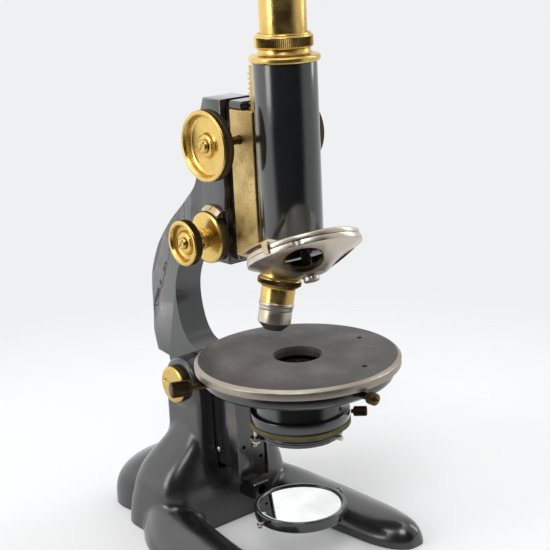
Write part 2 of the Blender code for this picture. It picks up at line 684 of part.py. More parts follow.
def make_nosepiece_mount():
    frame = nose_frame()
    disc = [(0, 6.2), (29, 5.9), (29.6, 5.5), (29.6, 3), (0, 3)]
    mount = turned("nosepiece_mount", disc, frame, 48, "nickel")
    neck = rod("neck", 15.2, (0, OPTIC_Y, 150), (0, OPTIC_Y, TUBE_BOTTOM - GAP), 32)
    cut(neck, turned("neck_end", [(0, 5), (60, 5), (60, -60), (0, -60)], frame, 32))
    pin = turned("pivot_pin", [(0, 4), (2.5, 4), (2.5, -11.1), (0, -11.1)], frame, 16)
    join(mount, neck, pin)
    cut(mount, rod("light_path", 8.4, (0, OPTIC_Y, 150), (0, OPTIC_Y, 190), 24))
    nut = [(0, -14.5), (3.4, -14.5), (4.2, -13.9), (4.2, -11.4), (0, -11.4)][::-1]
    pieces = [mount, turned("nosepiece_nut", nut, frame, 20, "nickel")]
    strip = arc((0, 0), 31.2, -108, -60, 10) + arc((0, 0), 26.6, -60, -108, 10)
    spring = plate("detent_spring", strip, 6.8, 7.5, frame, "nickel")
    at_tab = frame @ Matrix.Rotation(math.radians(-63), 4, "Z")
    tab = block("spring_tab", (30.7, -1.6, 0.8), (31.3, 1.6, 7.2), frame=at_tab)
    return pieces + [join(spring, tab)]


def make_nosepiece():
    frame = nose_frame()
    outer = [(NOSE_RADIUS, 2.7), (NOSE_RADIUS, 0), (8.5, cone_height(8.5))]
    inner = [(2.9, cone_height(8.5)), (2.9, -8), (6, -8), (27.4, 1.9), (27.4, 2.7)]
    disc = turned("nosepiece_disc", outer + inner, frame, 48, "nickel")
    for i in range(3):
        turn = OBJECTIVE_TURN + i * math.radians(120)
        start = seat_frame(turn) @ Vector((0, 0, -8 * MM)) / MM
        end = seat_frame(turn) @ Vector((0, 0, 9 * MM)) / MM
        notch = frame @ Matrix.Translation(nose_point(34.8, turn, 0))
        cut(
            disc,
            rod(f"seat_bore_{i}", 10.15, start, end, 32),
            turned(f"click_notch_{i}", [(0, 5), (5.6, 5), (5.6, 0.6), (0, 0.6)], notch, 16),
        )
    return disc


def make_objective():
    seat = seat_frame(OBJECTIVE_TURN)
    mount = [(9.7, 1.6), (9.7, -0.4), (10.8, -0.4), (11.5, -1.4), (11.5, -5.4), (10.4, -6.6)]
    mount += [(9.2, -7), (8.9, -8), (8.9, -14.4), (9.3, -14.7), (9.3, -17.2), (6, -17.2), (6, 1.6)]
    barrel = [(8.7, -17.5), (8.7, -24.2), (4.7, -28.2), (2.6, -28.2), (2.6, -25), (6, -22), (6, -17.5)]
    lens = [(0, -26), (2.3, -26), (2.3, -27.8), (0, -27.8)]
    return [
        turned("objective_mount", mount, seat, 32, "brass"),
        turned("objective_barrel", barrel, seat, 32, "nickel"),
        turned("objective_lens", lens, seat, 12, "glass"),
    ]


def make_draw_tube():
    optic = frame_at((0, OPTIC_Y, 0), Z_AXIS)
    wall = [(DRAW_RADIUS, DRAW_TOP), (DRAW_RADIUS, 214), (11.2, 214), (11.2, DRAW_TOP)]
    return turned("draw_tube", wall, optic, 32, "brass")


def make_eyepiece():
    optic = frame_at((0, OPTIC_Y, 0), Z_AXIS)
    body = [(10.8, 322.3), (10.8, 284), (9.9, 284), (9.9, 322.3)]
    cap = [(8.5, 332), (13.4, 332), (14.4, 331), (14.4, 323.6), (13.4, 322.6), (6.2, 322.6), (5.2, 330)]
    eye_lens = [(0, 326.2), (5.0, 325.6), (5.0, 323.4), (0, 323.4)]
    field_lens = [(0, 288.5), (5, 288), (9.6, 286.4), (9.6, 285), (0, 285)]
    return [
        turned("eyepiece_tube", body, optic, 32, "brass"),
        turned("eyepiece_cap", cap, optic, 32, "ebonite"),
        turned("eye_lens", eye_lens, optic, 16, "glass"),
        turned("field_lens", field_lens, optic, 20, "glass"),
    ]


# Bodies. Each has an empty on its joint's axis, and its pieces move with it.


def put_in_body(name, pivot, pieces):
    empty = bpy.data.objects.new("body_" + name, None)
    PARTS.objects.link(empty)
    empty.location = Vector(pivot) * MM
    for piece in pieces:
        piece.parent = empty
        piece.matrix_parent_inverse = Matrix.Translation(-Vector(pivot) * MM)
        piece.data.shade_smooth()
    return empty


def main():
    tray, tray_screw = make_tray()
    nose_centre = nose_frame().translation / MM
    optic = (0, OPTIC_Y, STAGE_TOP)
    bodies = {
        "base": ((0, 0, 0), make_base()),
        "limb": (
            (0, 0, JOINT_Z),
            [*make_limb(), *make_bracket(), make_collar(), make_mirror_arm()],
        ),
        "stage": (optic, [make_stage()]),
        "centring_screw_left": (
            polar(51, 157.5, STAGE_TOP - 9.3),
            [make_centring_screw("centring_screw_left", 157.5, LEFT_SCREW)],
        ),
        "centring_screw_front": (
            polar(51, -92, STAGE_TOP - 9.3),
            [make_centring_screw("centring_screw_front", -92, FRONT_SCREW)],
        ),
        "collar_screw": (polar(27, -45, 83.2), [make_collar_screw()]),
        "condenser": ((0, OPTIC_Y, 80), [*make_condenser(), tray_screw]),
        "iris": ((0, OPTIC_Y, 78), make_iris()),
        "tray": (polar(25.4, TRAY_AZIMUTH, 72), [tray]),
        "mirror_fork": ((0, MIRROR_Y, MIRROR_Z), [make_fork()]),
        "mirror": ((0, MIRROR_Y, MIRROR_Z), make_mirror()),
        "fine_slide": ((0, -51, 206), make_fine_block()),
        "fine_knobs": ((0, FINE_Y, FINE_Z), make_fine_knobs()),
        "coarse_knobs": ((0, COARSE_Y, COARSE_Z), make_coarse_knobs()),
        "tube": ((0, OPTIC_Y, 226), [*make_tube(), *make_nosepiece_mount()]),
        "nosepiece": (nose_centre, [make_nosepiece(), *make_objective()]),
        "draw_tube": ((0, OPTIC_Y, 268), [make_draw_tube()]),
        "eyepiece": ((0, OPTIC_Y, 305), make_eyepiece()),
    }
    for name, (pivot, pieces) in bodies.items():
        put_in_body(name, pivot, pieces)


main()
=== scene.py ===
import json
import math

import bmesh
import bpy
from mathutils import Matrix, Vector


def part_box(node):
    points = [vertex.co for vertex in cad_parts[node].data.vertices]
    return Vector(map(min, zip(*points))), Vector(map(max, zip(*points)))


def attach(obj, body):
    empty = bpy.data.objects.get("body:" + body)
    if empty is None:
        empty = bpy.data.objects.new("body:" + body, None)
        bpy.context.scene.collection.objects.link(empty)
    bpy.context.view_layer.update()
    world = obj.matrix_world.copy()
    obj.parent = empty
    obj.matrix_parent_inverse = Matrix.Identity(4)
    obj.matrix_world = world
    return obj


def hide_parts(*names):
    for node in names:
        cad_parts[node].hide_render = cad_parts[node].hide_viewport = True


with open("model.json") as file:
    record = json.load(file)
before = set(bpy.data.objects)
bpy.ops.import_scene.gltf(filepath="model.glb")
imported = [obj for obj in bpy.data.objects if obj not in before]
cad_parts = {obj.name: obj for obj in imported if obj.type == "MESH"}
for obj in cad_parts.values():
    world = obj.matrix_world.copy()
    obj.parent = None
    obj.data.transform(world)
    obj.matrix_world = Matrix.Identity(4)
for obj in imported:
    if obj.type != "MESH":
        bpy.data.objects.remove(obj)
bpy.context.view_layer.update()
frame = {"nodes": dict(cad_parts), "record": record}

MM = 0.001
GAP = 0.3
DISTANT = 60
X_AXIS, Y_AXIS = Vector((1, 0, 0)), Vector((0, 1, 0))
FLAT = Matrix.Identity(4)
ON_SIDE = Matrix(((0, 0, 1, 0), (1, 0, 0, 0), (0, 1, 0, 0), (0, 0, 0, 1)))
SHARP = math.radians(38)


def corners(node):
    low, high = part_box(node)
    return Vector(low) / MM, Vector(high) / MM


def centre(node):
    low, high = corners(node)
    return (low + high) / 2


# Places that the frame gives.
STAGE_LOW, STAGE_HIGH = corners("stage_plate")
OPTIC_Y = centre("stage_plate").y
STAGE_TOP = STAGE_HIGH.z
STAGE_RADIUS = (STAGE_HIGH.x - STAGE_LOW.x) / 2
JOINT_Z = centre("inclination_bolt").z
FINE = centre("fine_focus_spindle")
COARSE = centre("coarse_pinion")
MIRROR = Vector((0, -77, 26))
NOSE_TILT = math.radians(27)
NOSE_AZIMUTH = math.radians(-104)
NOSE_APEX_Z, NOSE_DROP, NOSE_RADIUS, NOSE_SEAT = 200.9, 30.5, 30.2, 18.6
OBJECTIVE_TURN = math.radians(-151)
THIRD_TURN = math.radians(120)
OPTIC = Matrix.Translation(Vector((0, OPTIC_Y, 0)) * MM)


# Materials. Each is a Principled shader with procedural wear, built from a few small helpers.


class Shader:
    """A material under construction: its node tree, and short ways to add nodes to it."""

    def __init__(self, name, colour, roughness, metallic):
        self.material = bpy.data.materials.new(name)
        self.material.use_nodes = True
        self.tree = self.material.node_tree
        self.principled = self.tree.nodes["Principled BSDF"]
        self.put("Base Color", (*colour, 1))
        self.put("Roughness", roughness)
        self.put("Metallic", metallic)
        self.place = self.tree.nodes.new("ShaderNodeTexCoord").outputs["Object"]

    def put(self, socket, value):
        self.principled.inputs[socket].default_value = value

    def link(self, output, socket):
        self.tree.links.new(output, socket)

    def noise(self, scale, detail=4, stretch=None):
        node = self.tree.nodes.new("ShaderNodeTexNoise")
        node.inputs["Scale"].default_value = scale
        node.inputs["Detail"].default_value = detail
        place = self.place
        if stretch:
            mapping = self.tree.nodes.new("ShaderNodeMapping")
            mapping.inputs["Scale"].default_value = stretch
            self.link(place, mapping.inputs["Vector"])
            place = mapping.outputs["Vector"]
        self.link(place, node.inputs["Vector"])
        return node.outputs["Fac"]

    def ramp(self, value, low, high, start=0.0, end=1.0):
        node = self.tree.nodes.new("ShaderNodeMapRange")
        node.inputs["From Min"].default_value = low
        node.inputs["From Max"].default_value = high
        node.inputs["To Min"].default_value = start
        node.inputs["To Max"].default_value = end
        self.link(value, node.inputs["Value"])
        return node.outputs["Result"]

    def mix(self, factor, first, second):
        node = self.tree.nodes.new("ShaderNodeMix")
        node.data_type = "RGBA"
        self.link(factor, node.inputs["Factor"])
        for socket, value in ((node.inputs[6], first), (node.inputs[7], second)):
            if isinstance(value, tuple):
                socket.default_value = (*value, 1)
            else:
                self.link(value, socket)
        return node.outputs[2]

    def times(self, first, second):
        node = self.tree.nodes.new("ShaderNodeMath")
        node.operation = "MULTIPLY"
        self.link(first, node.inputs[0])
        self.link(second, node.inputs[1])
        return node.outputs[0]

    def edges(self, low=0.52, high=0.6):
        """Rises from 0 to 1 along worn convex edges."""
        node = self.tree.nodes.new("ShaderNodeNewGeometry")
        return self.ramp(node.outputs["Pointiness"], low, high)

    def colour(self, output):
        self.link(output, self.principled.inputs["Base Color"])

    def roughness(self, output):
        self.link(output, self.principled.inputs["Roughness"])

    def bump(self, height, distance, strength=1.0):
        node = self.tree.nodes.new("ShaderNodeBump")
        node.inputs["Strength"].default_value = strength
        node.inputs["Distance"].default_value = distance * MM
        self.link(height, node.inputs["Height"])
        self.link(node.outputs["Normal"], self.principled.inputs["Normal"])


def enamel(name, colour, roughness, worn=(0.1, 0.06, 0.04)):
    """Stoved black enamel: glossy, faintly uneven, dusty in places and rubbed along the edges."""
    shader = Shader(name, colour, roughness, 0.0)
    shader.put("Specular IOR Level", 0.75)
    shader.put("Coat Weight", 0.4)
    shader.put("Coat Roughness", 0.1)
    dust = shader.ramp(shader.noise(420, 6), 0.6, 0.78)
    rubbed = shader.times(shader.edges(0.55, 0.66), shader.ramp(shader.noise(95, 5), 0.5, 0.66))
    cloud = shader.ramp(shader.noise(38, 4), 0.35, 0.7)
    body = shader.mix(cloud, colour, tuple(c * 1.4 + 0.001 for c in colour))
    body = shader.mix(shader.ramp(dust, 0, 1, 0, 0.07), body, (0.14, 0.13, 0.12))
    shader.colour(shader.mix(rubbed, body, worn))
    shader.roughness(shader.ramp(shader.noise(60, 5), 0.3, 0.75, roughness * 0.8, roughness * 1.5))
    shader.bump(shader.noise(120, 2), 0.015, 0.4)
    return shader.material


def brass(name, colour, dark, roughness, tarnish=(0.52, 0.7), specks=(0.66, 0.74)):
    """Lacquered brass with brown tarnish in patches, fine rubbing marks and small dark specks."""
    shader = Shader(name, colour, roughness, 1.0)
    patches = shader.ramp(shader.noise(55, 7), *tarnish)
    spots = shader.ramp(shader.noise(900, 2), *specks)
    body = shader.mix(shader.ramp(patches, 0, 1, 0, 0.7), colour, dark)
    body = shader.mix(shader.ramp(spots, 0, 1, 0, 0.75), body, tuple(c * 0.35 for c in dark))
    tint = shader.ramp(shader.noise(16, 3), 0.35, 0.65)
    paler = tuple(0.7 * c + 0.3 * p for c, p in zip(colour, (0.6, 0.46, 0.22)))
    shader.colour(shader.mix(shader.ramp(tint, 0, 1, 0, 0.4), body, paler))
    shader.roughness(shader.ramp(shader.noise(140, 6), 0.3, 0.72, roughness * 0.75, roughness * 1.7))
    shader.bump(shader.noise(700, 3, (1, 1, 0.12)), 0.012, 0.5)
    return shader.material


def nickel(name, colour, roughness, showing=(0.5, 0.36, 0.18)):
    """Satin nickel plate, rubbed through to brass here and there."""
    shader = Shader(name, colour, roughness, 1.0)
    rubbed = shader.times(shader.edges(0.51, 0.58), shader.ramp(shader.noise(120, 5), 0.42, 0.6))
    cloud = shader.ramp(shader.noise(70, 6), 0.4, 0.72)
    body = shader.mix(shader.ramp(cloud, 0, 1, 0, 0.3), colour, tuple(c * 0.62 for c in colour))
    spots = shader.ramp(shader.noise(1100, 2), 0.66, 0.74)
    body = shader.mix(shader.ramp(spots, 0, 1, 0, 0.5), body, (0.14, 0.11, 0.08))
    shader.colour(shader.mix(rubbed, body, showing))
    shader.roughness(shader.ramp(shader.noise(160, 6), 0.3, 0.72, roughness * 0.8, roughness * 1.4))
    shader.bump(shader.noise(900, 3), 0.008, 0.4)
    return shader.material


def worn_black(name):
    """The stage's matt black, stained brown, with pale scratches and dull patches."""
    base = (0.05, 0.046, 0.044)
    shader = Shader(name, base, 0.42, 0.15)
    shader.put("Specular IOR Level", 0.35)
    stains = shader.ramp(shader.noise(34, 9), 0.42, 0.7)
    body = shader.mix(stains, base, (0.078, 0.066, 0.058))
    rust = shader.ramp(shader.noise(150, 8), 0.6, 0.75)
    body = shader.mix(shader.ramp(rust, 0, 1, 0, 0.4), body, (0.15, 0.1, 0.07))
    pale = shader.ramp(shader.noise(520, 5), 0.67, 0.75)
    shader.colour(shader.mix(shader.ramp(pale, 0, 1, 0, 0.4), body, (0.26, 0.24, 0.22)))
    shader.roughness(shader.ramp(shader.noise(42, 7), 0.3, 0.7, 0.36, 0.58))
    shader.bump(shader.noise(420, 6), 0.02, 0.5)
    return shader.material


def glass(name, colour=(0.93, 0.97, 0.98)):
    shader = Shader(name, colour, 0.02, 0.0)
    shader.put("Transmission Weight", 0.9)
    shader.put("IOR", 1.5)
    shader.roughness(shader.ramp(shader.noise(90, 3), 0.3, 0.8, 0.01, 0.06))
    return shader.material


def mirror(name):
    """Old silvering, with a faint haze."""
    shader = Shader(name, (0.9, 0.91, 0.9), 0.02, 1.0)
    haze = shader.ramp(shader.noise(60, 6), 0.4, 0.8)
    shader.colour(shader.mix(haze, (0.92, 0.93, 0.92), (0.72, 0.72, 0.7)))
    shader.roughness(shader.ramp(shader.noise(120, 4), 0.4, 0.8, 0.02, 0.1))
    return shader.material


BRASS, DARK = (0.62, 0.43, 0.13), (0.26, 0.16, 0.045)
LOOKS = {
    "enamel": enamel("enamel", (0.006, 0.0063, 0.007), 0.17),
    "enamel_base": enamel("enamel_base", (0.007, 0.0068, 0.007), 0.26, (0.1, 0.035, 0.022)),
    "brass": brass("brass", BRASS, DARK, 0.25),
    "brass_block": brass("brass_block", (0.54, 0.4, 0.17), (0.3, 0.2, 0.08), 0.36, specks=(0.6, 0.7)),
    "brass_turned": brass("brass_turned", (0.66, 0.46, 0.14), (0.34, 0.21, 0.055), 0.24),
    "brass_aged": brass("brass_aged", (0.14, 0.125, 0.065), (0.055, 0.05, 0.028), 0.42),
    "brass_milled": brass("brass_milled", (0.07, 0.045, 0.024), (0.03, 0.019, 0.012), 0.4),
    "nickel": nickel("nickel", (0.56, 0.52, 0.46), 0.32),
    "nickel_rim": nickel("nickel_rim", (0.33, 0.3, 0.25), 0.36, (0.36, 0.28, 0.15)),
    "silver": nickel("silver", (0.62, 0.6, 0.56), 0.3),
    "steel": nickel("steel", (0.3, 0.29, 0.28), 0.32),
    "worn_black": worn_black("worn_black"),
    "ebonite": enamel("ebonite", (0.012, 0.01, 0.009), 0.35),
    "glass": glass("glass"),
    # Near-black condenser glass: painted shade standing in for the dark inside of the stage's hole, not a
    # real tint of the glass.
    "glass_painted_shade": glass("glass_painted_shade", (0.06, 0.065, 0.065)),
    "mirror": mirror("mirror"),
    "ink": enamel("ink", (0.008, 0.008, 0.008), 0.6),
}
BODY_OF = {node: body for body, nodes in frame["record"]["behaviour"]["bodies"].items() for node in nodes}


# Shapes.


def finish_mesh(name, shape, materials, place=FLAT):
    """Turns a bmesh in metres into an object, with its edges marked sharp where faces turn quickly."""
    bmesh.ops.recalc_face_normals(shape, faces=shape.faces)
    for face in shape.faces:
        face.smooth = True
    for edge in shape.edges:
        if len(edge.link_faces) == 2 and edge.calc_face_angle(0) > SHARP:
            edge.smooth = False
    mesh = bpy.data.meshes.new(name)
    shape.to_mesh(mesh)
    shape.free()
    obj = bpy.data.objects.new(name, mesh)
    obj.matrix_world = place
    bpy.context.scene.collection.objects.link(obj)
    for material in [materials] if isinstance(materials, str) else materials:
        mesh.materials.append(LOOKS[material])
    return obj


def frame_at(point, along):
    turn = Vector(along).to_track_quat("Z", "Y").to_matrix().to_4x4()
    return Matrix.Translation(Vector(point) * MM) @ turn


def rounded(profile, radius, closed):
    """The profile with each corner replaced by a small arc of three points."""
    count, result = len(profile), []
    for i, row in enumerate(profile):
        if not closed and i in (0, count - 1):
            result.append(row)
            continue
        here = Vector(row[:2])
        before, after = Vector(profile[i - 1][:2]), Vector(profile[(i + 1) % count][:2])
        to_before, to_after = before - here, after - here
        reach = min(radius, 0.42 * to_before.length, 0.42 * to_after.length)
        start, end = here + to_before.normalized() * reach, here + to_after.normalized() * reach
        middle = (start + end) / 4 + here / 2
        result += [(*point, *row[2:]) for point in (start, middle, end)]
    return result


def lathe(name, profile, place, materials, steps=128, soft=0.25, teeth=0, paint=None):
    """A turned piece. A third number on a profile row is the depth of the milling there."""
    ring = profile[0][0] > 0
    rows = rounded(profile, soft, ring) if soft else profile
    if teeth:
        steps = teeth * 4
    shape = bmesh.new()
    loops = []
    for radius, height, *milling in rows:
        if radius < 1e-6:
            loops.append([shape.verts.new((0, 0, height * MM))])
            continue
        loop = []
        for i in range(steps):
            angle = 2 * math.pi * i / steps
            reach = radius
            if milling and teeth:
                reach -= milling[0] * (0.5 + 0.5 * math.cos(teeth * angle))
            point = (reach * math.cos(angle), reach * math.sin(angle), height)
            loop.append(shape.verts.new(Vector(point) * MM))
        loops.append(loop)
    pairs = list(zip(loops, loops[1:])) + ([(loops[-1], loops[0])] if ring else [])
    for first, second in pairs:
        for i in range(steps):
            j = (i + 1) % steps
            ends = [first[i % len(first)], first[j % len(first)]]
            ends += [second[j % len(second)], second[i % len(second)]]
            unique = list(dict.fromkeys(ends))
            if len(unique) > 2:
                shape.faces.new(unique)
    if paint:
        for face in shape.faces:
            middle = face.calc_center_median() / MM
            face.material_index = paint(math.hypot(middle.x, middle.y), middle.z)
    return finish_mesh(name, shape, materials, place)


def round_off(shape, edges, width):
    bmesh.ops.bevel(shape, geom=edges, offset=width * MM, segments=3, affect="EDGES", profile=0.5)


def slab(name, low, high, materials, soft=0.5, place=FLAT):
    low, high = Vector(low) * MM, Vector(high) * MM
    shape = bmesh.new()
    middle = Matrix.Translation((low + high) / 2)
    bmesh.ops.create_cube(shape, size=1, matrix=middle @ Matrix.Diagonal((*(high - low), 1)))
    if soft:
        round_off(shape, list(shape.edges), soft)
    return finish_mesh(name, shape, materials, place)


def plate(name, outline, low, high, materials, soft=0.6, place=FLAT):
    """A flat outline extruded along its frame's +Z, with its two rims rounded."""
    shape = bmesh.new()
    base = [shape.verts.new((x * MM, y * MM, low * MM)) for x, y in outline]
    top = [shape.verts.new((x * MM, y * MM, high * MM)) for x, y in outline]
    faces = [shape.faces.new(base), shape.faces.new(top)]
    for i in range(len(base)):
        j = (i + 1) % len(base)
        shape.faces.new((base[i], base[j], top[j], top[i]))
    if soft:
        rims = [edge for face in faces for edge in face.edges]
        round_off(shape, rims, soft)
    return finish_mesh(name, shape, materials, place)


def through(points, count):
    """A smooth curve through points of any size, with count steps between each pair."""
    rows = [Vector(point) for point in points]
    rows = [2 * rows[0] - rows[1]] + rows + [2 * rows[-1] - rows[-2]]
    result = []
    for a, b, c, d in zip(rows, rows[1:], rows[2:], rows[3:]):
        for i in range(count):
            t = i / count
            result.append(0.5 * (2 * b + (c - a) * t + (2 * a - 5 * b + 4 * c - d) * t**2
                                 + (3 * b - a - 3 * c + d) * t**3))
    return [tuple(row) for row in result + [rows[-2]]]


def arc(middle, radius, start, end, count):
    angles = [math.radians(start + (end - start) * i / count) for i in range(count + 1)]
    return [(middle[0] + radius * math.cos(a), middle[1] + radius * math.sin(a)) for a in angles]


def apply_modifiers(obj):
    graph = bpy.context.evaluated_depsgraph_get()
    mesh = bpy.data.meshes.new_from_object(obj.evaluated_get(graph))
    obj.modifiers.clear()
    obj.data = mesh


def boolean(target, tools, operation="DIFFERENCE"):
    """Cuts tools from a piece, or joins them to it, and leaves only the result."""
    for tool in tools:
        modifier = target.modifiers.new(tool.name, "BOOLEAN")
        modifier.operation = operation
        modifier.solver = "EXACT"
        modifier.object = tool
    apply_modifiers(target)
    for tool in tools:
        bpy.data.objects.remove(tool)
    return target


def resharpen(obj, angle=SHARP):
    """Marks sharp edges again after a Boolean."""
    shape = bmesh.new()
    shape.from_mesh(obj.data)
    for face in shape.faces:
        face.smooth = True
    for edge in shape.edges:
        edge.smooth = not (len(edge.link_faces) == 2 and edge.calc_face_angle(0) > angle)
    shape.to_mesh(obj.data)
    shape.free()
    return obj


def drill(name, radius, start, end, steps=48):
    """A plain cylinder from start to end, to cut with or to join on."""
    start, end = Vector(start), Vector(end)
    length = (end - start).length
    profile = [(0, length), (radius, length), (radius, 0), (0, 0)]
    return lathe(name, profile, frame_at(start, end - start), "steel", steps, soft=0)


def box_tool(name, low, high, place=FLAT):
    return slab(name, low, high, "steel", 0, place)


def stands_for(piece, *nodes):
    """The piece rides with the first node's body, and takes the place of all of these nodes."""
    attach(piece, BODY_OF[nodes[0]])
    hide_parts(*nodes)
    return piece


def goes_with(piece, node):
    """The piece is an extra detail that rides with the node's body."""
    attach(piece, BODY_OF[node])
    return piece


def dress(node, look):
    """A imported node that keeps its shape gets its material, and shades smoothly but for its sharp edges."""
    obj = frame["nodes"][node]
    obj.data.materials.clear()
    obj.data.materials.append(LOOKS[look])
    shape = bmesh.new()
    shape.from_mesh(obj.data)
    sharpness = [len(edge.link_faces) != 2 or edge.calc_face_angle(0) > SHARP for edge in shape.edges]
    shape.free()
    for polygon in obj.data.polygons:
        polygon.use_smooth = True
    for edge, sharp in zip(obj.data.edges, sharpness):
        edge.use_edge_sharp = sharp
    return obj


# The foot: lofted lumps, fused and smoothed like a casting, then machined.

HEEL = (  # (y, half width, height)
    (-9, 24, 38), (-1, 27, 40), (10, 31, 40.5), (20, 35, 39.3), (30, 37.4, 37.2), (37, 38.8, 35.2),
    (45, 38.8, 31.6), (51, 37.4, 27), (55, 34.5, 21), (57.4, 30.5, 13), (58.2, 26, 5),
)
LEG = (  # (y, inner x, outer x, height)
    (22.3, 14, 40, 20.3), (7, 15.2, 48.6, 20.6), (-2, 18, 54.4, 20.2), (-15, 22, 60.2, 18),
    (-30, 24, 63.3, 16), (-50, 27, 64.6, 15), (-70, 29.5, 64.6, 14.5), (-90, 30.6, 63.6, 14.5),
    (-102, 32.2, 61.4, 14.3), (-111, 35.2, 58.6, 13.4), (-116.5, 38.8, 55.4, 10.5),
    (-119.6, 42.7, 51.9, 6.2),
)
ROOT = (  # (z, half width, front y, back y)
    (66, 19.9, -14.4, 15), (58, 21, -14.5, 16), (52, 24.5, -14.8, 18), (47, 29.5, -15.2, 20),
    (42, 35, -16, 22.5), (37, 39.5, -17, 25), (32, 42.5, -18.2, 27), (26, 44.5, -19.4, 29.5),
    (20, 45.5, -20.4, 31), (12, 47, -21, 33), (-6, 49, -21, 34),
)
FLOOR_CUT = -6.0
HEEL_POWER, LEG_POWER = 3.4, 1.9
CHEEK_IN, CHEEK_OUT, CHEEK_RADIUS = 9.6, 20.0, 14.7
BOLT_BORE = 5.1
CASTING_SHARP = math.radians(50)
CASTING_GRAIN, CASTING_SOFTNESS, CASTING_PASSES = 1.0, 0.6, 14


def skin(shape, sections):
    """Joins rings of points into a closed skin."""
    rings = [[shape.verts.new(Vector(point) * MM) for point in section] for section in sections]
    for first, second in zip(rings, rings[1:]):
        for i in range(len(first)):
            j = (i + 1) % len(first)
            shape.faces.new((first[i], first[j], second[j], second[i]))
    shape.faces.new(rings[0])
    shape.faces.new(rings[-1])


def hump(half, height, power, count):
    """A section across a lump: a superellipse whose sides go straight down through the floor."""
    points = [(half, FLOOR_CUT)]
    for i in range(count + 1):
        across, up = math.cos(math.pi * i / count), math.sin(math.pi * i / count)
        reach = math.copysign(abs(across) ** (2 / power), across)
        points.append((half * reach, height * abs(up) ** (2 / power)))
    return points + [(-half, FLOOR_CUT)]


def root_ring(z, half, front, back):
    """A level section of the lump that carries the cheeks: a rounded rectangle."""
    points = []
    for i in range(64):
        angle = 2 * math.pi * i / 64
        across, along = math.cos(angle), math.sin(angle)
        x = half * math.copysign(abs(across) ** 0.5, across)
        y = (back - front) / 2 * math.copysign(abs(along) ** 0.5, along) + (back + front) / 2
        points.append((x, y, z))
    return points


def one_lump(name, sections):
    shape = bmesh.new()
    skin(shape, sections)
    return finish_mesh(name, shape, "enamel_base")


def base_lumps():
    """Heel, root, and on each side a leg, a cheek and the boss for the bolt head."""
    lumps = [one_lump("heel", [[(x, y, z) for x, z in hump(half, height, HEEL_POWER, 40)]
                               for y, half, height in through(HEEL, 5)])]
    lumps.append(one_lump("root", [root_ring(*level) for level in through(ROOT, 5)]))
    for side in (-1, 1):
        sections = []
        for y, inner, outer, height in through(LEG, 5):
            middle, half = (inner + outer) / 2, (outer - inner) / 2
            sections.append([(side * (middle + x), y, z) for x, z in hump(half, height, LEG_POWER, 40)])
        lumps.append(one_lump(f"leg_{side}", sections))
        outline = [(-CHEEK_RADIUS, 30)] + arc((0, JOINT_Z), CHEEK_RADIUS, 180, 0, 48)
        outline += [(15.4, 62), (16.6, 46), (18, 30)]
        low, high = sorted((side * (CHEEK_IN - 3), side * CHEEK_OUT))
        lumps.append(plate(f"cheek_{side}", outline, low, high, "enamel_base", 0, ON_SIDE))
        ends = (side * (CHEEK_OUT - 3), 0, JOINT_Z), (side * (CHEEK_OUT + 1.2), 0, JOINT_Z)
        lumps.append(drill(f"boss_{side}", 13.6, *ends))
    return lumps


def make_base():
    """The lumps are fused and smoothed like a casting, then the slots, the bore and the floor are cut."""
    shape = bmesh.new()
    for lump in base_lumps():
        lump.data.transform(lump.matrix_world)
        shape.from_mesh(lump.data)
        bpy.data.objects.remove(lump)
    mesh = bpy.data.meshes.new("base")
    shape.to_mesh(mesh)
    shape.free()
    base = bpy.data.objects.new("foot_casting", mesh)
    bpy.context.scene.collection.objects.link(base)
    remesh = base.modifiers.new("Fuse", "REMESH")
    remesh.mode = "VOXEL"
    remesh.voxel_size = CASTING_GRAIN * MM
    smooth = base.modifiers.new("Soften", "SMOOTH")
    smooth.factor = CASTING_SOFTNESS
    smooth.iterations = CASTING_PASSES
    apply_modifiers(base)
    boolean(base, [
        box_tool("floor_cut", (-80, -140, -20), (80, 80, 0)),
        box_tool("tail_slot", (-CHEEK_IN, -40, 34), (CHEEK_IN, -4, 120)),
        box_tool("limb_slot", (-CHEEK_IN, -41, 44), (CHEEK_IN, 70, 121)),
        drill("joint_bore", BOLT_BORE, (-40, 0, JOINT_Z), (40, 0, JOINT_Z)),
    ])
    resharpen(base, CASTING_SHARP)
    for polygon in base.data.polygons:
        polygon.material_index = 0
    base.data.materials.clear()
    base.data.materials.append(LOOKS["enamel_base"])
    stands_for(base, "base_casting")


def make_bolt():
    dress("inclination_bolt", "steel")
    for side, word in ((-1, "left"), (1, "right")):
        place = frame_at((side * (CHEEK_OUT + 1 + GAP), 0, JOINT_Z), side * X_AXIS)
        profile = [(0, 4.9), (9.6, 5.1), (10.8, 4.4), (10.8, 0), (0, 0)]
        head = lathe(f"joint_head_{word}", profile, place, ("brass", "brass_milled"), 128, 0.3,
                     paint=lambda radius, height: int(radius > 10.3 and height < 4.3))
        tools = []
        for end in (-1, 1):
            point = Vector((side * (CHEEK_OUT + 3.2), end * 6.4, JOINT_Z + end * 1.7))
            tools.append(drill(f"pin_hole_{word}_{end}", 0.9, point, point + side * 6 * X_AXIS, 24))
        stands_for(boolean(head, tools), f"bolt_head_{word}")


# The limb, the bracket, and what is fixed to them.


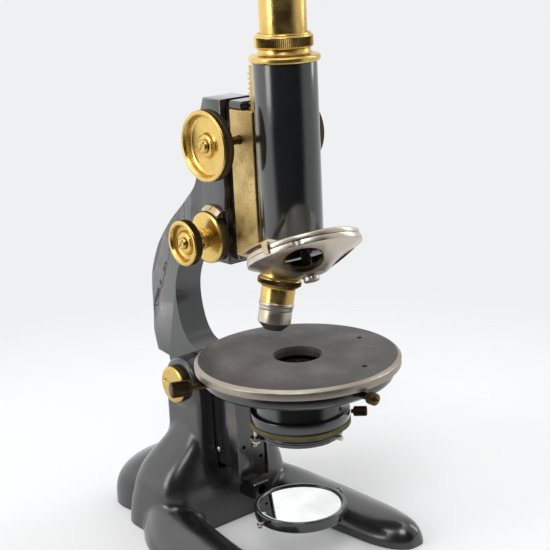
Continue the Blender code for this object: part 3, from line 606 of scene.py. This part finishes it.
def make_limb():
    back = through([(-22, 244), (-15.5, 226), (-11.8, 203.2), (-1.1, 190.8), (14.6, 176.8), (27.8, 161.7),
                    (35.7, 145.9), (38, 134), (38.3, 120), (39.6, 104)], 6)
    under = [(37, 94), (24.7, 94), (24.7, 84), (21, 73), (14, 63), (3, 54.5), (-8.8, 54.5), (-8.8, 102.9)]
    throat = through([(-3.4, 102.9), (4.8, 106.5), (10.7, 114.3), (14.2, 127), (13.9, 139.6), (9.3, 150.6),
                      (2.5, 157), (-8, 160.4)], 6)
    outline = back + under + throat + [(-38, 160.4), (-38, 244)]
    limb = plate("limb_casting", outline, -9, 9, "enamel", 0.9, ON_SIDE)
    side = [(-39, 160), (-15, 160), (-15, 205), (-17, 228), (-21.5, 242), (-23.5, 249.4), (-39, 249.4)]
    head = plate("limb_head", side, -10.5, 10.5, "enamel", 1.2, ON_SIDE)
    boolean(limb, [head], "UNION")
    boolean(limb, [
        drill("lug_bore", BOLT_BORE, (-20, 0, JOINT_Z), (20, 0, JOINT_Z)),
        drill("spindle_bore", 3.1, (-20, FINE.y, FINE.z), (20, FINE.y, FINE.z)),
    ])
    stands_for(resharpen(limb), "limb")
    dress("fine_focus_guide", "enamel")


def make_index_plate():
    """The silvered index: a bevelled piece of a ring over the drum, with one engraved line."""
    dress("fine_focus_index", "silver")
    lean = math.asin(-2.5 / 16.5)
    outward = Vector((0, math.sin(lean), math.cos(lean)))
    down = (Vector((2.6, 0, 0)) + outward * 1.8).normalized()
    facing = (Vector((-1.8, 0, 0)) + outward * 2.6).normalized()
    place = Matrix((down.cross(facing), down, facing)).transposed().to_4x4()
    place.translation = (Vector((-13.9, FINE.y, FINE.z)) + outward * 16.5) * MM
    line = slab("index_line", (-0.22, -1.45, -0.2), (0.22, 1.45, 0.06), "ink", 0, place)
    goes_with(line, "fine_focus_index")


def make_bracket():
    bottom = STAGE_TOP - 12.5
    profile = [(51, bottom + 6.6), (51, bottom + 1.6), (49.4, bottom), (16, bottom), (16, bottom + 6.6)]
    bracket = lathe("stage_body", profile, OPTIC, "enamel", 192, 0.3)
    boolean(bracket, [
        slab("bracket_back", (-9, -36, bottom - 0.6), (9, -9.1, bottom + 1.2), "enamel", 0.3),
        slab("bracket_leg", (-9, -29, 37.5), (9, -9.1, bottom + 1), "enamel", 0.5),
    ], "UNION")
    tools = []
    for side in (-1, 1):
        low, high = sorted((side * 8.1, side * 11))
        tools.append(box_tool(f"groove_{side}", (low, -22.8, 47), (high, -20.3, bottom - 4)))
    stands_for(resharpen(boolean(bracket, tools)), "stage_bracket")
    dress("tailpiece", "enamel")
    for node in ("bracket_screw_left", "bracket_screw_right", "tailpiece_screw"):
        middle = centre(node)
        along = -Y_AXIS if node == "tailpiece_screw" else math.copysign(1, middle.x) * X_AXIS
        place = frame_at(middle - along * 0.5, along)
        dome = [(0, 1.1), (0.9, 0.95), (1.6, 0.5), (1.7, 0), (0, 0)]
        screw = lathe(node + "_head", dome, place, "silver", 40, 0.12)
        slot = box_tool(node + "_slot", (-3, -0.25, 0.6), (3, 0.25, 2), place)
        stands_for(boolean(screw, [slot]), node)


def make_stage():
    """The turning stage plate: matt black on top, with a worn plated bevel and rim."""
    radius, bottom = STAGE_RADIUS, STAGE_LOW.z
    profile = [(radius - 2.1, STAGE_TOP), (radius - 0.4, STAGE_TOP - 1.2), (radius, STAGE_TOP - 1.7)]
    profile += [(radius, bottom + 0.5), (radius - 0.5, bottom), (13.2, bottom), (12.3, bottom + 0.8)]
    profile += [(12.3, STAGE_TOP - 0.9), (13.1, STAGE_TOP - 0.9), (13.1, STAGE_TOP)]
    plate_piece = lathe("stage_top", profile, OPTIC, ("worn_black", "nickel_rim"), 256, 0.18,
                        paint=lambda reach, height: int(reach > radius - 1.9))
    tools = []
    for azimuth in (-6.6, -74.7):
        angle = math.radians(azimuth)
        x, y = 41.3 * math.cos(angle), OPTIC_Y + 41.3 * math.sin(angle)
        tools.append(drill(f"clip_hole_{azimuth:.0f}", 1.5, (x, y, 100), (x, y, 130), 32))
    stands_for(resharpen(boolean(plate_piece, tools)), "stage_plate")


def radial(node, azimuth, radius):
    """The frame of a screw that points outward from the optical axis, at the node's height."""
    angle = math.radians(azimuth)
    outward = Vector((math.cos(angle), math.sin(angle), 0))
    point = Vector((0, OPTIC_Y, centre(node).z)) + outward * radius
    return frame_at(point, outward)


def make_stage_screws():
    left = [(0, 18.6), (3.2, 18.9), (4.15, 18.2, 0), (4.2, 17.9, 0.45), (4.2, 8.8, 0.45), (4.1, 8.3, 0),
            (3.4, 7.7), (1.8, 7.6), (1.8, 0), (0, 0)]
    front = [(0, 11.4), (1.2, 10.2), (2.6, 9.5), (3.15, 9.1, 0), (3.2, 8.8, 0.35), (3.2, 5.2, 0.35),
             (3.1, 4.8, 0), (1.8, 4.2), (1.8, 0), (0, 0)]
    clamp = [(0, 8.8), (2.0, 8.8), (2.65, 8.3, 0), (2.7, 8.0, 0.3), (2.7, 2.0, 0.3), (2.6, 1.6, 0), (1.1, 1),
             (1.1, 0), (0, 0)]
    lever = [(0, 6.2), (1.0, 6.2), (1.4, 5.6, 0.1), (1.4, 3.1, 0.1), (0.8, 2.5), (0.8, 0), (0, 0)]
    for name, node, profile, azimuth, radius, teeth, look in (
        ("centring_head_left", "centring_screw_left", left, 157.5, 51.3, 40, "brass_milled"),
        ("centring_head_front", "centring_screw_front", front, -92, 51.3, 32, "brass_milled"),
        ("clamp_head", "collar_screw", clamp, -45, 27.3, 28, "brass_milled"),
        ("iris_knob", "iris_lever", lever, -84, 23.5, 16, "silver"),
    ):
        place = radial(node, azimuth, radius)
        stands_for(lathe(name, profile, place, look, 64, 0.12, teeth), node)


# The substage and the mirror.


def make_substage():
    collar = [(23.8, 103.2), (23.8, 86), (26.6, 86), (27, 85.6), (27, 80.8), (22.6, 80.8), (22.6, 103.2)]
    outer = [(10.8, 109.9), (10.8, 107), (14, 103), (22.2, 100.6), (22.2, 80.8)]
    inner = [(17.6, 80.8), (17.6, 95.6), (9, 103), (9, 109.9)]
    ring = [(26.6, 80.5), (27.3, 80.0, 0), (27.3, 79.7, 0.25), (27.3, 77.9, 0.25), (27.3, 77.6, 0),
            (26.7, 77.1), (17.6, 77.1), (17.6, 80.5)]
    housing = [(23.2, 76.8), (23.2, 75.6), (22.9, 75.4), (22.9, 74.9), (23.2, 74.7), (23.2, 73.9),
               (22.8, 73.6), (17.6, 73.6), (17.6, 76.8)]
    stands_for(lathe("collar_sleeve", collar, OPTIC, "enamel", 160, 0.25), "substage_collar")
    stands_for(lathe("condenser_mount", outer + inner, OPTIC, "enamel", 128, 0.25), "condenser_body")
    stands_for(lathe("iris_control_ring", ring, OPTIC, "brass_aged", 160, 0.12, 110), "iris_ring")
    stands_for(lathe("iris_case", housing, OPTIC, "enamel", 160, 0.15), "iris_housing")
    # Both condenser lenses get the near-black glass, which is painted shade for the dark hole under the
    # stage.
    dress("condenser_upper_lens", "glass_painted_shade")
    dress("condenser_lower_lens", "glass_painted_shade")
    dress("iris_leaves", "steel")
    dress("filter_tray", "enamel")
    dress("tray_pivot_screw", "silver")


def make_mirror():
    place = Matrix.Translation(MIRROR * MM)
    cell = [(25.4, 2.6), (25.4, -2.6), (24.6, -3.4), (15, -3.4), (15, -1.2), (23.1, -1.2), (23.1, 2.4),
            (23.7, 3), (25, 3)]
    silvered = [(0, 2.2), (22.2, 2.2), (22.8, 1.8), (22.8, -0.9), (0, -0.9)]
    stands_for(lathe("mirror_ring", cell, place, "enamel", 192, 0.15), "mirror_cell")
    stands_for(lathe("silvered_glass", silvered, place, "mirror", 128, 0.05), "mirror_glass")
    for side, word in ((-1, "left"), (1, "right")):
        profile = [(0, 4.6), (1.3, 4.6), (1.9, 4.3), (2, 3.6), (1.2, 3.4), (1.2, 0), (0, 0)]
        screw_place = frame_at(MIRROR + side * 25.7 * X_AXIS, side * X_AXIS)
        screw = lathe(f"pivot_screw_{word}", profile, screw_place, "steel", 48, 0.15)
        slot = box_tool(f"pivot_slot_{word}", (-3, -0.3, 4.1), (3, 0.3, 7), screw_place)
        stands_for(boolean(screw, [slot]), f"mirror_pivot_{word}")
    outline = arc((0, 0), 28.6, -4, 184, 96) + arc((0, 0), 25.9, 184, -4, 96)
    fork = plate("mirror_crescent", outline, -3, 3, "enamel", 0.5, place)
    tools = [
        drill("fork_stem", 2.5, (0, -49.6, MIRROR.z), (0, -31, MIRROR.z)),
        drill("fork_shoulder", 4.2, (0, -49.8, MIRROR.z), (0, -44.4, MIRROR.z)),
    ]
    boolean(fork, tools, "UNION")
    cuts = []
    for side in (-1, 1):
        start, end = MIRROR + side * 20 * X_AXIS, MIRROR + side * 40 * X_AXIS
        cuts.append(drill(f"pivot_bore_{side}", 1.5, start, end, 32))
    stands_for(resharpen(boolean(fork, cuts)), "mirror_fork")
    dress("mirror_arm", "enamel")


# Focusing.


def knob_profile(radius, width, hub):
    """A milled knob with its face at height 0: raised bright rim, dark recess, dish and middle boss."""
    edge = 0.42 if radius > 15 else 0.32
    rim = [(radius - 2.6, -1.0), (radius - 2.2, -0.25), (radius - 1.5, 0), (radius - 0.7, -0.1)]
    rim += [(radius - 0.15, -0.6, 0), (radius, -0.9, edge)]
    if radius > 15:
        middle = -width / 2
        rim += [(radius, middle + 0.6, edge), (radius - 0.7, middle + 0.35, 0),
                (radius - 0.7, middle - 0.35, 0), (radius, middle - 0.6, edge)]
    rim += [(radius, -width + 0.6, edge), (radius - 0.3, -width + 0.2, 0), (radius - 0.9, -width)]
    back = [(hub, -width), (hub, -width - 0.1), (hub * 0.45, -width - 0.1)]
    dish = [(hub * 0.45, -1.5), (hub - 0.4, -1.5), (hub + 0.4, -2.0), (hub + 0.6, -3.4), (hub + 1.2, -4.2),
            (radius - 4.4, -4.2), (radius - 3.2, -3.6), (radius - 2.9, -1.5)]
    return rim + back + dish


def make_knob(name, node, face_x, side, radius, width, teeth, y, z, screw_radius, screw_node):
    place = frame_at((side * face_x, y, z), side * X_AXIS)
    profile = knob_profile(radius, width, 5.6)
    knob = lathe(name, profile, place, ("brass_turned", "brass_milled"), 256, 0.16, teeth,
                 paint=lambda reach, height: int(reach > radius - 0.9 and height < -0.7))
    stands_for(knob, node)
    screw_place = frame_at((side * (face_x - 1.3), y, z), side * X_AXIS)
    head = [(0, 2.0), (screw_radius * 0.75, 1.75), (screw_radius, 0.8), (screw_radius, 0), (0, 0)]
    screw = lathe(name + "_screw", head, screw_place, "brass", 64, 0.2)
    turn = screw_place @ Matrix.Rotation(math.radians(52), 4, "Z")
    slot = box_tool(name + "_slot", (-9, -0.42, 1.0), (9, 0.42, 4), turn)
    stands_for(boolean(screw, [slot]), screw_node)


DRUM_MARKS, LONG_MARK, SHORT_MARK, MARKS_PER_LONG = 50, 3.0, 1.9, 5


def make_coarse_knobs():
    for side, word in ((-1, "left"), (1, "right")):
        make_knob(f"coarse_knob_{word}", f"coarse_focus_knob_{word}", 34, side, 18.5, 6.6, 100,
                  COARSE.y, COARSE.z, 3.6, f"coarse_knob_screw_{word}")
    dress("coarse_pinion", "brass_milled")


def make_fine_knobs():
    make_knob("fine_knob_left", "fine_focus_knob_left", 33, -1, 12.4, 5.4, 80,
              FINE.y, FINE.z, 3.2, "fine_knob_screw")
    place = frame_at((0, FINE.y, FINE.z), -X_AXIS)
    profile = [(4.9, 27.2), (5.6, 26.6), (5.6, 21), (6.1, 20.6), (6.1, 19.6), (5.6, 19.2), (5.6, 17.2),
               (12.8, 16.8), (14.1, 15.9), (14.1, 11.3), (13.7, 10.9), (2.6, 10.9), (2.6, 27.2)]
    drum = lathe("graduated_drum", profile, place, ("brass_turned", "brass_aged"), 160, 0.16,
                 paint=lambda reach, height: int(reach > 13.95 or reach > 13 and height < 12))
    stands_for(drum, "fine_focus_drum")
    shape = bmesh.new()
    for i in range(DRUM_MARKS):
        length = SHORT_MARK if i % MARKS_PER_LONG else LONG_MARK
        turn = Matrix.Rotation(2 * math.pi * i / DRUM_MARKS, 4, "Z")
        size = Matrix.Diagonal((0.12 * MM, 0.22 * MM, length * MM, 1))
        where = Matrix.Translation(Vector((14.08, 0, 11.5 + length / 2)) * MM)
        bmesh.ops.create_cube(shape, size=1, matrix=turn @ where @ size)
    goes_with(finish_mesh("drum_graduations", shape, "brass_milled", place), "fine_focus_drum")
    far = frame_at((0, FINE.y, FINE.z), X_AXIS)
    right = [(0, 17.2), (9.5, 17.4), (11.6, 17.2), (12.3, 16.8, 0), (12.4, 16.5, 0.32), (12.4, 12.6, 0.32),
             (12.1, 12.1, 0), (5.6, 12), (5.6, 11.2), (2.5, 11.2), (2.5, 15.8), (0, 15.8)]
    knob = lathe("fine_knob_right", right, far, ("brass_turned", "brass_milled"), 256, 0.16, 80,
                 paint=lambda reach, height: int(reach > 11.7 and height < 16.9))
    stands_for(knob, "fine_focus_knob_right")
    dress("fine_focus_spindle", "steel")


def make_slide():
    dress("fine_focus_slide", "brass_block")
    dress("slide_cap", "enamel")
    dress("rack_bar", "brass_block")


# The tube.


def make_tube():
    low, high = corners("body_tube")
    barrel = [(16.4, high.z), (16.4, low.z), (14.9, low.z), (14.9, high.z)]
    stands_for(lathe("main_tube", barrel, OPTIC, "enamel", 192, 0.25), "body_tube")
    flange = [(13.2, 277.2), (13.3, 276.4), (13.6, 275.4), (14.4, 274.6), (15.4, 274.25), (16.6, 274.2),
              (17.5, 273.9), (18.1, 273.2), (18.1, 271.5), (17.6, 270.8), (12.3, 270.8), (12.3, 277.2)]
    clamp = [(13.2, 285), (13.7, 284.7), (13.9, 284.2), (13.9, 283.9), (14.5, 283.6), (14.8, 283.1, 0),
             (14.8, 282.8, 0.4), (14.8, 278.5, 0.4), (14.8, 278.2, 0), (14.3, 277.5), (12.3, 277.5),
             (12.3, 285)]
    stands_for(lathe("tube_top_flange", flange, OPTIC, "brass_turned", 192, 0.12), "tube_flange")
    stands_for(lathe("milled_clamp_ring", clamp, OPTIC, "brass_turned", 192, 0.1, 96), "draw_tube_clamp")
    low, high = corners("draw_tube")
    wall = [(12, high.z), (12, low.z), (11.2, low.z), (11.2, high.z)]
    stands_for(lathe("sliding_draw_tube", wall, OPTIC, "brass_turned", 192, 0.2), "draw_tube")
    body = [(10.8, 322.3), (10.8, 284), (9.9, 284), (9.9, 322.3)]
    cap = [(8.5, 332), (12.9, 332), (14.0, 331.5), (14.4, 330.6, 0), (14.4, 330.2, 0.3), (14.4, 324.4, 0.3),
           (14.4, 324.0, 0), (13.4, 322.6), (6.2, 322.6), (5.2, 330)]
    stands_for(lathe("eyepiece_barrel", body, OPTIC, "brass_turned", 128, 0.15), "eyepiece_tube")
    stands_for(lathe("eyepiece_top", cap, OPTIC, "ebonite", 128, 0.2, 72), "eyepiece_cap")
    dress("eye_lens", "glass")
    dress("field_lens", "glass")


# The nosepiece and the objective.


def nose_frame():
    """The nosepiece's own frame: its height axis is the turning axis, and the cone's rim is at height 0."""
    down = Vector((math.sin(NOSE_TILT) * math.cos(NOSE_AZIMUTH), math.sin(NOSE_TILT) * math.sin(NOSE_AZIMUTH),
                   -math.cos(NOSE_TILT)))
    across = Vector((-math.sin(NOSE_AZIMUTH), math.cos(NOSE_AZIMUTH), 0))
    place = Matrix((across.cross(-down), across, -down)).transposed().to_4x4()
    place.translation = (Vector((0, OPTIC_Y, NOSE_APEX_Z)) + down * NOSE_DROP) * MM
    return place


def nose_point(radius, turn, height):
    return Vector((radius * math.cos(turn), radius * math.sin(turn), height)) * MM


def seat_frame(turn):
    """The frame of one objective seat, square to the cone's face."""
    depth = (NOSE_RADIUS - NOSE_SEAT) * math.tan(NOSE_TILT)
    lean = Matrix.Rotation(turn, 4, "Z") @ Matrix.Rotation(-NOSE_TILT, 4, "Y")
    return nose_frame() @ Matrix.Translation(nose_point(NOSE_SEAT, turn, -depth)) @ lean


def make_nosepiece():
    place = nose_frame()
    disc = [(0, 6.2), (28.4, 6.0), (29.6, 5.3), (29.6, 3), (0, 3)]
    mount = lathe("nosepiece_top", disc, place, "nickel", 192, 0.25)
    neck = drill("neck", 15.2, (0, OPTIC_Y, 150), (0, OPTIC_Y, 182.1), 128)
    below_the_disc = [(0, 5), (DISTANT, 5), (DISTANT, -DISTANT), (0, -DISTANT)]
    boolean(neck, [lathe("neck_end", below_the_disc, place, "steel", 64, 0)])
    pin = lathe("pivot_pin", [(0, 4), (2.5, 4), (2.5, -11.1), (0, -11.1)], place, "steel", 48, 0)
    boolean(mount, [neck, pin], "UNION")
    boolean(mount, [drill("light_path", 8.4, (0, OPTIC_Y, 150), (0, OPTIC_Y, 190), 64)])
    mount.data.materials.clear()
    mount.data.materials.append(LOOKS["nickel"])
    mount.data.materials.append(LOOKS["ebonite"])
    stands_for(resharpen(mount), "nosepiece_mount")
    to_nose = place.inverted() @ mount.matrix_world
    for polygon in mount.data.polygons:
        polygon.material_index = int((to_nose @ polygon.center).z < 3.1 * MM)
    nut = [(0, -11.4), (4.2, -11.4), (4.2, -13.9), (3.4, -14.5), (1.6, -14.5), (1.4, -14.2), (0, -14.2)]
    stands_for(lathe("pivot_cap", nut, place, "nickel", 64, 0.2), "nosepiece_nut")
    dress("detent_spring", "nickel_rim")
    cone = [(NOSE_RADIUS, 2.7), (NOSE_RADIUS, 0), (8.5, -(NOSE_RADIUS - 8.5) * math.tan(NOSE_TILT))]
    inner = [(2.9, cone[-1][1]), (2.9, -8), (6, -8), (27.4, 1.9), (27.4, 2.7)]
    plate_piece = lathe("turning_disc", cone + inner, place, "nickel", 256, 0.3)
    tools = []
    for i in range(3):
        turn = OBJECTIVE_TURN + i * THIRD_TURN
        start = seat_frame(turn) @ Vector((0, 0, -8 * MM)) / MM
        end = seat_frame(turn) @ Vector((0, 0, 9 * MM)) / MM
        tools.append(drill(f"seat_bore_{i}", 10.15, start, end, 96))
        notch = place @ Matrix.Translation(nose_point(34.8, turn, 0))
        round_cut = [(0, 5), (5.6, 5), (5.6, 0.6), (0, 0.6)]
        tools.append(lathe(f"click_notch_{i}", round_cut, notch, "steel", 64, 0))
    stands_for(resharpen(boolean(plate_piece, tools)), "nosepiece_disc")
    for i in (1, 2):
        rows = [(10.13, 2.9), (10.13, 0.4)]
        for k in range(5):
            rows += [(9.7, 0.45 + k * 0.5), (9.95, 0.7 + k * 0.5)]
        turn = OBJECTIVE_TURN + i * THIRD_TURN
        thread = lathe(f"seat_thread_{i}", rows, seat_frame(turn), "brass_milled", 96, 0)
        goes_with(thread, "nosepiece_disc")


def make_objective():
    seat = seat_frame(OBJECTIVE_TURN)
    mount = [(9.7, 1.6), (9.7, -0.4), (10.8, -0.4), (11.2, -0.9), (11.5, -1.5, 0), (11.5, -1.8, 0.4),
             (11.5, -3.6, 0.4), (11.3, -4.0, 0), (10.2, -4.9), (9.2, -5.4), (8.9, -6), (8.9, -13.6),
             (9.3, -13.9), (9.3, -15.2), (8.8, -15.5), (8.8, -17.2), (6, -17.2), (6, 1.6)]
    barrel = [(8.7, -17.5), (8.7, -24.2), (4.7, -28.2), (2.6, -28.2), (2.6, -25), (6, -22), (6, -17.5)]
    stands_for(lathe("objective_upper", mount, seat, ("brass_turned", "nickel", "brass_milled"), 128, 0.2, 72,
                     paint=lambda reach, height: (1 if height < -13.6 else
                                                  2 if reach > 10.95 and -3.9 < height < -1.5 else 0)),
               "objective_mount")
    stands_for(lathe("objective_lower", barrel, seat, ("nickel", "steel"), 128, 0.25,
                     paint=lambda reach, height: int(height < -24.3)), "objective_barrel")
    dress("objective_lens", "glass")


# Floor, light and camera.


def make_floor():
    """A pale disc that fades out, so that the ground has no far edge."""
    shape = bmesh.new()
    bmesh.ops.create_grid(shape, x_segments=1, y_segments=1, size=1.2)
    floor = finish_mesh("floor", shape, "ink")
    floor.location.z = -0.0002
    shader = Shader("floor", (0.83, 0.83, 0.835), 0.6, 0.0)
    shader.put("Specular IOR Level", 0.2)
    length = shader.tree.nodes.new("ShaderNodeVectorMath")
    length.operation = "LENGTH"
    shader.link(shader.place, length.inputs[0])
    fade = shader.ramp(length.outputs["Value"], 0.25, 0.46, 1, 0)
    shader.link(fade, shader.principled.inputs["Alpha"])
    floor.data.materials.clear()
    floor.data.materials.append(shader.material)


def make_sky():
    """Soft light from all round. Reflections show a dark front, and a left brighter than the right."""
    world = bpy.data.worlds.new("studio")
    bpy.context.scene.world = world
    world.use_nodes = True
    tree = world.node_tree
    path = tree.nodes.new("ShaderNodeLightPath")
    place = tree.nodes.new("ShaderNodeTexCoord").outputs["Generated"]

    def along(direction, low, high, start, end):
        dot = tree.nodes.new("ShaderNodeVectorMath")
        dot.operation = "DOT_PRODUCT"
        dot.inputs[1].default_value = direction
        tree.links.new(place, dot.inputs[0])
        ramp = tree.nodes.new("ShaderNodeMapRange")
        ramp.interpolation_type = "SMOOTHSTEP"
        for socket, value in (("From Min", low), ("From Max", high), ("To Min", start), ("To Max", end)):
            ramp.inputs[socket].default_value = value
        tree.links.new(dot.outputs["Value"], ramp.inputs["Value"])
        return ramp.outputs["Result"]

    def mixed(factor, first, second):
        node = tree.nodes.new("ShaderNodeMix")
        for output, socket in ((factor, node.inputs[0]), (first, node.inputs[2]), (second, node.inputs[3])):
            if isinstance(output, float):
                socket.default_value = output
            else:
                tree.links.new(output, socket)
        return node.outputs[0]

    front = along((0.617, 0.739, 0.0), -0.66, -0.34, 0.03, 1.0)
    side = along((-0.77, 0.64, 0.0), -0.7, 0.6, 0.8, 1.35)
    glossy = tree.nodes.new("ShaderNodeMath")
    glossy.operation = "MULTIPLY"
    tree.links.new(front, glossy.inputs[0])
    tree.links.new(side, glossy.inputs[1])
    strength = mixed(path.outputs["Is Glossy Ray"], 0.72, glossy.outputs[0])
    strength = mixed(path.outputs["Is Camera Ray"], strength, 0.88)
    sky = tree.nodes["Background"]
    sky.inputs["Color"].default_value = (0.985, 0.99, 1, 1)
    tree.links.new(strength, sky.inputs["Strength"])


def make_lights():
    scene = bpy.context.scene
    for name, place, target, size, power in (
        ("key", (-0.9, -0.9, 1.5), (0, -0.04, 0.12), (0.7, 0.7), 9),
        ("left_box", (-1.5, 0.3, 0.8), (0, -0.04, 0.15), (0.5, 1.2), 8),
        ("right_box", (1.3, -0.5, 0.8), (0, -0.04, 0.15), (0.35, 1.1), 5),
        ("top_box", (0, 0, 1.9), (0, 0, 0), (1.2, 1.2), 6),
    ):
        light = bpy.data.lights.new(name, "AREA")
        light.shape = "RECTANGLE"
        light.size, light.size_y = size
        light.energy = power
        lamp = bpy.data.objects.new(name, light)
        turn = (Vector(target) - Vector(place)).to_track_quat("-Z", "Y").to_matrix().to_4x4()
        lamp.matrix_world = Matrix.Translation(place) @ turn
        scene.collection.objects.link(lamp)
    scene.view_settings.view_transform = "Standard"
    scene.view_settings.exposure = 0.0


def make_camera():
    """Stands where it sees the object as the subject's picture does: from the front left, a little above."""
    azimuth, elevation, roll = (math.radians(angle) for angle in (-39.84, 15.67, -2.76))
    back = Vector((math.sin(azimuth) * math.cos(elevation), -math.cos(azimuth) * math.cos(elevation),
                   math.sin(elevation)))
    level = Vector((math.cos(azimuth), math.sin(azimuth), 0))
    upright = back.cross(level)
    right = level * math.cos(roll) + upright * math.sin(roll)
    up = upright * math.cos(roll) - level * math.sin(roll)
    place = Matrix((right, up, back)).transposed().to_4x4()
    place.translation = Vector((-426.13, -575.3, 343.44)) * MM
    data = bpy.data.cameras.new("camera")
    data.sensor_width = 36
    data.lens = 85.175
    data.clip_start = 0.01
    camera = bpy.data.objects.new("camera", data)
    camera.matrix_world = place
    bpy.context.scene.collection.objects.link(camera)
    bpy.context.scene.camera = camera


def main():
    make_camera()
    make_floor()
    make_sky()
    make_lights()
    make_base()
    make_bolt()
    make_limb()
    make_index_plate()
    make_bracket()
    make_stage()
    make_stage_screws()
    make_substage()
    make_mirror()
    make_slide()
    make_fine_knobs()
    make_coarse_knobs()
    make_tube()
    make_nosepiece()
    make_objective()


main()
